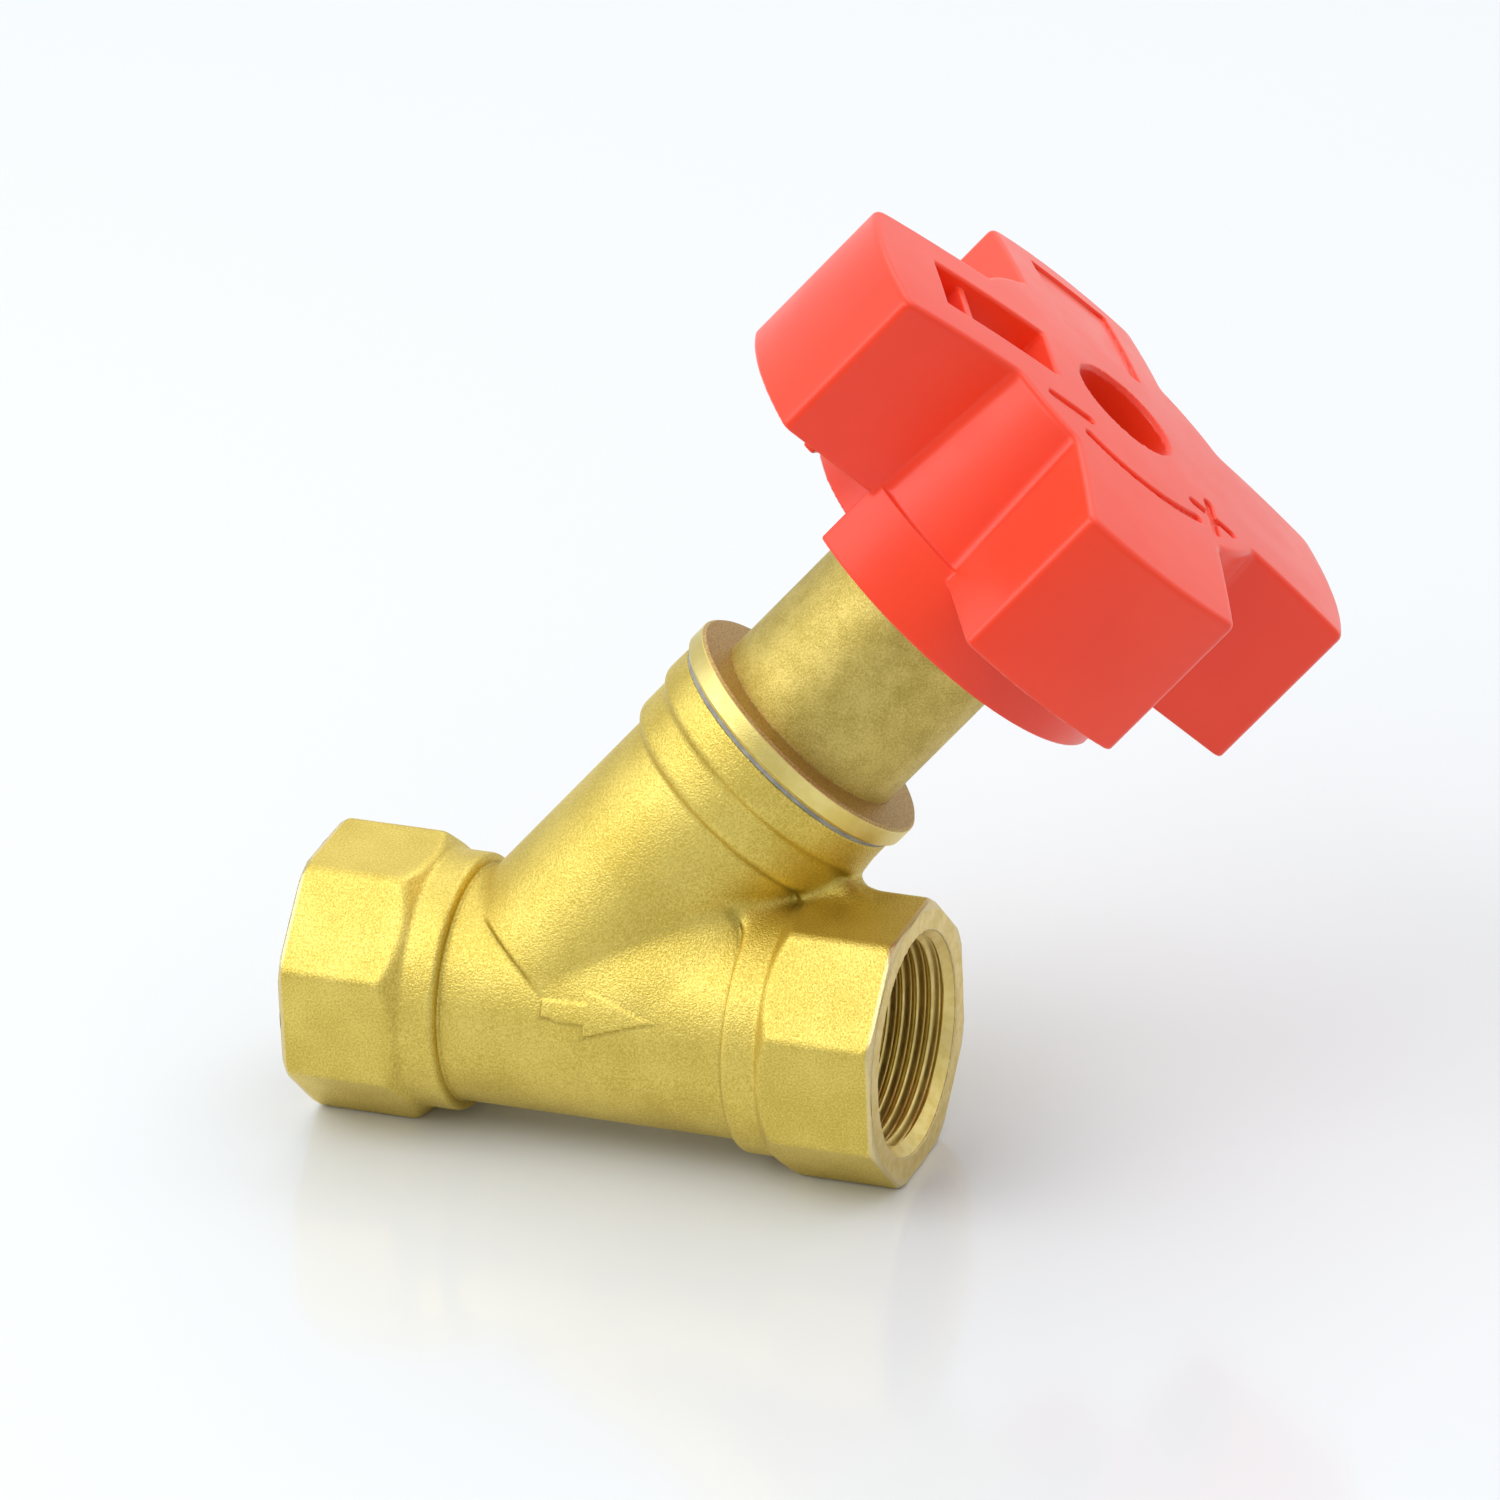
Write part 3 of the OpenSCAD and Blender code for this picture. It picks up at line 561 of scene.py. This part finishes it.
class Nodes:
    """A short hand for building one node material."""

    def __init__(self, name):
        self.material = bpy.data.materials.new(name)
        self.material.use_nodes = True
        self.tree = self.material.node_tree
        self.shader = self.tree.nodes["Principled BSDF"]
        self.place = self.tree.nodes.new("ShaderNodeTexCoord").outputs["Object"]

    def feed(self, socket, source):
        """Sets a socket to a number or a colour, or links it to another socket."""
        if isinstance(source, (int, float)):
            socket.default_value = source
        elif isinstance(source, tuple):
            socket.default_value = (*source, 1.0)
        elif source is not None:
            self.tree.links.new(source, socket)

    def noise(self, scale, detail=3.0, rough=0.55, source=None):
        node = self.tree.nodes.new("ShaderNodeTexNoise")
        for key, value in (("Scale", scale), ("Detail", detail), ("Roughness", rough)):
            node.inputs[key].default_value = value
        self.feed(node.inputs["Vector"], source or self.place)
        return node.outputs["Fac"]

    def math(self, operation, a, b=None):
        node = self.tree.nodes.new("ShaderNodeMath")
        node.operation = operation
        self.feed(node.inputs[0], a)
        self.feed(node.inputs[1], b)
        return node.outputs[0]

    def blend(self, a, share, b):
        """That share of a, and the rest of b."""
        return self.math("ADD", self.math("MULTIPLY", a, share), self.math("MULTIPLY", b, 1.0 - share))

    def layer(self, name):
        """A value that solid() left on each point of the mesh."""
        node = self.tree.nodes.new("ShaderNodeAttribute")
        node.attribute_name = name
        return node.outputs["Fac"]

    def ramp(self, value, low, high, out_low=0.0, out_high=1.0):
        return map_range(self.tree, value, "SMOOTHSTEP", low, high, out_low, out_high)

    def mix(self, factor, a, b):
        node = self.tree.nodes.new("ShaderNodeMix")
        node.data_type = "RGBA"
        for number, source in ((0, factor), (6, a), (7, b)):
            self.feed(node.inputs[number], source)
        return node.outputs[2]

    def axis_distance(self, direction, origin):
        """Signed distance along direction from origin, in millimetres."""
        shift = self.tree.nodes.new("ShaderNodeVectorMath")
        shift.operation = "SUBTRACT"
        self.feed(shift.inputs[0], self.place)
        shift.inputs[1].default_value = [c * MM for c in origin]
        dot = self.tree.nodes.new("ShaderNodeVectorMath")
        dot.operation = "DOT_PRODUCT"
        self.feed(dot.inputs[0], shift.outputs[0])
        dot.inputs[1].default_value = [c / MM for c in direction]
        return dot.outputs["Value"]

    def bump(self, height, strength, distance, under=None):
        node = self.tree.nodes.new("ShaderNodeBump")
        node.inputs["Strength"].default_value = strength
        node.inputs["Distance"].default_value = distance * MM
        self.feed(node.inputs["Height"], height)
        self.feed(node.inputs["Normal"], under)
        return node.outputs["Normal"]

    def finish(self, colour, roughness, normal, **values):
        for key, source in (("Base Color", colour), ("Roughness", roughness), ("Normal", normal)):
            self.feed(self.shader.inputs[key], source)
        for key, value in values.items():
            self.shader.inputs[key.replace("_", " ")].default_value = value
        return self.material


def brass(name, light, dark, rough, grain_scale, grain, machined_at_faces=False):
    """Grainy brass, with painted shade darkening its creases and painted highlights brightening its edges; the two
    port faces can be machined.
    """
    n = Nodes(name)
    fine = n.noise(grain_scale, 2.0, 0.6)
    broad = n.noise(120.0, 3.0, 0.5)
    colour = n.mix(n.ramp(n.blend(fine, 0.65, broad), 0.36, 0.64), dark, light)
    crease = n.ramp(n.layer("crease"), 0.12, 0.7)
    # painted highlight: the colour is brightened along edges, standing in for edge highlights
    edge = n.math("MULTIPLY", n.ramp(n.layer("edge"), 0.25, 0.8), n.ramp(fine, 0.3, 0.6, 0.35, 0.8))
    colour = n.mix(edge, colour, tuple(min(1.0, PAINTED_EDGE_HIGHLIGHT * c) for c in light))
    # painted shade: the colour is darkened towards a dark brass in creases, standing in for shade
    colour = n.mix(n.math("MULTIPLY", crease, 0.6), colour, tuple(PAINTED_CREASE_SHADE * c for c in dark))
    roughness = n.ramp(fine, 0.35, 0.65, rough + 0.06, rough - 0.05)
    roughness = n.math("SUBTRACT", roughness, n.math("MULTIPLY", edge, 0.08))
    grit = n.bump(fine, grain, 0.12)
    if machined_at_faces:
        end = n.axis_distance((1, 0, 0), (RUN / 2, 0, 0))
        face = n.ramp(n.math("ABSOLUTE", end), RUN / 2 - 0.62, RUN / 2 - 0.5)
        rings = n.ramp(n.noise(2600.0, 1.0, 0.5), 0.3, 0.7, 0.29, 0.37)
        colour = n.mix(face, colour, MACHINED_FACE)
        as_cast = n.math("MULTIPLY", roughness, n.math("SUBTRACT", 1.0, face))
        roughness = n.math("ADD", as_cast, n.math("MULTIPLY", rings, face))
    return n.finish(colour, roughness, grit, Metallic=1.0)


def plain(name, colour_a, colour_b, rough, scale=300.0, grain=0.1, metallic=0.0):
    """A material of two close colours in soft spots, with a fine bump."""
    n = Nodes(name)
    spots = n.noise(scale, 3.0, 0.55)
    colour = n.mix(n.ramp(spots, 0.35, 0.65), colour_a, colour_b)
    roughness = n.ramp(spots, 0.3, 0.7, rough - 0.05, rough + 0.05)
    skin = n.bump(n.noise(scale * 6, 2.0, 0.5), grain, 0.03)
    return n.finish(colour, roughness, skin, Metallic=metallic)


def bonnet_brass():
    """Brass of the bonnet: a bright rim, a darker seat above it and a turned neck."""
    n = Nodes("bonnet brass")
    s = n.axis_distance(AXIS, CROSSING)
    fine = n.noise(4200.0, 3.0, 0.7)
    broad = n.noise(260.0, 3.0, 0.6)
    neck = n.mix(n.ramp(n.blend(fine, 0.6, broad), 0.36, 0.64), (0.48, 0.37, 0.085), (0.70, 0.56, 0.17))
    seat = n.mix(n.ramp(fine, 0.35, 0.65), (0.44, 0.28, 0.10), (0.64, 0.46, 0.18))
    rim = n.mix(n.ramp(broad, 0.35, 0.65), (0.78, 0.63, 0.19), (0.85, 0.71, 0.26))
    above_rim = n.ramp(s, RIM_TOP, RIM_TOP + 0.1)
    above_seat = n.ramp(s, SEAT_TOP, SEAT_TOP + 0.1)
    colour = n.mix(above_seat, n.mix(above_rim, rim, seat), neck)
    rough_rim = n.math("MULTIPLY", n.math("SUBTRACT", 1.0, above_rim), 0.32)
    roughness = n.math("ADD", rough_rim, n.math("MULTIPLY", above_rim, n.ramp(fine, 0.3, 0.7, 0.56, 0.46)))
    waves = n.tree.nodes.new("ShaderNodeCombineXYZ")
    n.feed(waves.inputs[0], s)
    turned_lines = n.bump(n.noise(5.5, 2.0, 0.6, waves.outputs[0]), 0.25, 0.05)
    return n.finish(colour, roughness, n.bump(fine, 0.6, 0.10, turned_lines), Metallic=1.0)


def red_plastic():
    """Moulded plastic with a soft sheen and a slightly wavy skin."""
    n = Nodes("red moulded plastic")
    cloud = n.noise(45.0, 3.0, 0.5)
    skin = n.noise(900.0, 3.0, 0.55)
    colour = n.mix(n.ramp(cloud, 0.3, 0.7), (0.90, 0.037, 0.004), (0.95, 0.046, 0.006))
    roughness = n.ramp(n.noise(160.0, 2.0, 0.5), 0.3, 0.7, 0.30, 0.35)
    wavy = n.bump(n.noise(70.0, 2.0, 0.5), 0.12, 0.4)
    gloss = {"Specular_IOR_Level": 0.52, "Sheen_Weight": 0.16, "Sheen_Roughness": 0.45}
    return n.finish(colour, roughness, n.bump(skin, 0.10, 0.03, wavy), **gloss)


cast = brass("cast brass", (0.83, 0.66, 0.165), (0.62, 0.465, 0.085), 0.44, 4000.0, 0.9, True)
machined = brass("machined brass", (0.80, 0.64, 0.24), (0.72, 0.55, 0.17), 0.34, 700.0, 0.12)
red = red_plastic()
ink = plain("dial ink", (0.012, 0.012, 0.013), (0.03, 0.03, 0.032), 0.5)
SLOT_MATERIALS = {
    "cast_brass": cast,
    "turned_brass": bonnet_brass(),
    "machined_brass": machined,
    "red_plastic": red,
    "white_plastic": plain("white acetal", (0.80, 0.79, 0.75), (0.88, 0.87, 0.84), 0.42),
    "grey_plastic": plain("grey nylon", (0.30, 0.31, 0.32), (0.36, 0.37, 0.38), 0.5),
    "steel": plain("steel", (0.56, 0.56, 0.55), (0.66, 0.66, 0.65), 0.35, 500.0, 0.15, 1.0),
    "rubber": plain("rubber", (0.02, 0.02, 0.02), (0.035, 0.034, 0.033), 0.55, 400.0, 0.25),
    "ptfe": plain("ptfe", (0.82, 0.81, 0.77), (0.88, 0.87, 0.84), 0.5),
    "fibre": plain("fibre", (0.26, 0.25, 0.22), (0.36, 0.35, 0.31), 0.75, 900.0, 0.6),
}
for part in frame["record"]["subparts"]:
    node = frame["nodes"][part["node"]]
    node.data.materials.clear()
    node.data.materials.append(SLOT_MATERIALS[part["material_slot"]])

# ---------------------------------------------------------------- pieces
cell = 0.32
limit = 170000
body = solid("body_casting", casting, (-1.2, -18.2, -17.6), (76.4, 31.2, 46.0), cell, limit, same)
body.data.materials.append(cast)
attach(body, "valve_body")
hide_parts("body")

hand = solid("handwheel_moulding", wheel, (-38.8, -38.8, 68.4), (38.9, 38.9, 102.6), cell, limit, on_wheel)
hand.data.materials.append(red)
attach(hand, "handwheel")
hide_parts("handwheel")

for name, mouth, inward in (("inlet_thread", 0.0, 1), ("outlet_thread", RUN, -1)):
    piece = thread(name, mouth, inward)
    piece.data.materials.append(machined)
    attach(piece, "valve_body")

text_ring("tenths_digits", "valve_body", 12.9, 3.4, 1, ink)
text_ring("turns_digits", "turns_dial", 17.95, 2.9, -1, red)

# ---------------------------------------------------------------- floor, light and camera
FLOOR_GAP = 0.00005
centre = (cad_low + cad_high) / 2
scene = bpy.context.scene

floor_mesh = bmesh.new()
bmesh.ops.create_circle(floor_mesh, cap_ends=True, radius=8.0, segments=96)
mesh = bpy.data.meshes.new("studio_floor")
floor_mesh.to_mesh(mesh)
floor_mesh.free()
floor = bpy.data.objects.new("studio_floor", mesh)
floor.location.z = cad_low.z - FLOOR_GAP
scene.collection.objects.link(floor)
paint = bpy.data.materials.new("studio floor")
paint.use_nodes = True
glaze = paint.node_tree.nodes["Principled BSDF"]
glaze.inputs["Base Color"].default_value = (0.735, 0.752, 0.767, 1)
glaze.inputs["Roughness"].default_value = 0.12
floor.data.materials.append(paint)

world = bpy.data.worlds.new("studio")
scene.world = world
world.use_nodes = True
tree = world.node_tree
sky = tree.nodes.new("ShaderNodeTexCoord")
split = tree.nodes.new("ShaderNodeSeparateXYZ")
tree.links.new(sky.outputs["Generated"], split.inputs[0])
level = tree.nodes.new("ShaderNodeMath")
level.operation = "MULTIPLY"
height = map_range(tree, split.outputs["Z"], "LINEAR", -0.1, 0.9, 0.62, 1.18)
front = map_range(tree, split.outputs["Y"], "SMOOTHSTEP", -0.9, 0.3, 0.72, 1.0)
tree.links.new(height, level.inputs[0])
tree.links.new(front, level.inputs[1])
background = tree.nodes["Background"]
background.inputs["Color"].default_value = (0.965, 0.985, 1.0, 1)
tree.links.new(level.outputs[0], background.inputs["Strength"])


def away(azimuth, elevation):
    """Direction from the part to a viewer or lamp at that azimuth and elevation, in degrees."""
    a, e = math.radians(azimuth), math.radians(elevation)
    return Vector((math.sin(a) * math.cos(e), -math.cos(a) * math.cos(e), math.sin(e)))


def lamp(name, azimuth, elevation, distance, size, power):
    """A soft white light at that azimuth and elevation round the part, turned towards it."""
    back = away(azimuth, elevation)
    data = bpy.data.lights.new(name, "AREA")
    data.shape = "RECTANGLE"
    data.size, data.size_y = size
    data.energy = power
    obj = bpy.data.objects.new(name, data)
    obj.location = centre + back * distance
    obj.rotation_euler = (-back).to_track_quat("-Z", "Y").to_euler()
    scene.collection.objects.link(obj)


lamp("key", -38, 50, 0.9, (0.8, 0.5), 2.5)
lamp("side", -62, 25, 1.0, (0.8, 0.6), 1.9)
lamp("back", 170, 54, 1.0, (1.0, 0.5), 2.1)

# The photo's camera, as it was fitted to the part: angles in degrees, distance and target in millimetres
AZIMUTH, ELEVATION, ROLL = 21.501, 26.755, -2.415
DISTANCE = 1392.855
TARGET = Vector((58.238, -7.513, 40.238))
FOCAL_LENGTH = 286.575
SENSOR_WIDTH = 36.0
back = away(AZIMUTH, ELEVATION)
right = (-back).cross(Vector((0, 0, 1))).normalized()
up = right.cross(-back)
roll = math.radians(ROLL)
right, up = math.cos(roll) * right + math.sin(roll) * up, math.cos(roll) * up - math.sin(roll) * right
lens = bpy.data.cameras.new("camera")
lens.lens = FOCAL_LENGTH
lens.sensor_width = SENSOR_WIDTH
lens.clip_start, lens.clip_end = 0.05, 30.0
camera = bpy.data.objects.new("camera", lens)
turned = Matrix([[right[i], up[i], back[i]] for i in range(3)]).to_4x4()
camera.matrix_world = Matrix.Translation((TARGET + back * DISTANCE) * MM) @ turned
scene.collection.objects.link(camera)
scene.camera = camera
scene.view_settings.view_transform = "Standard"
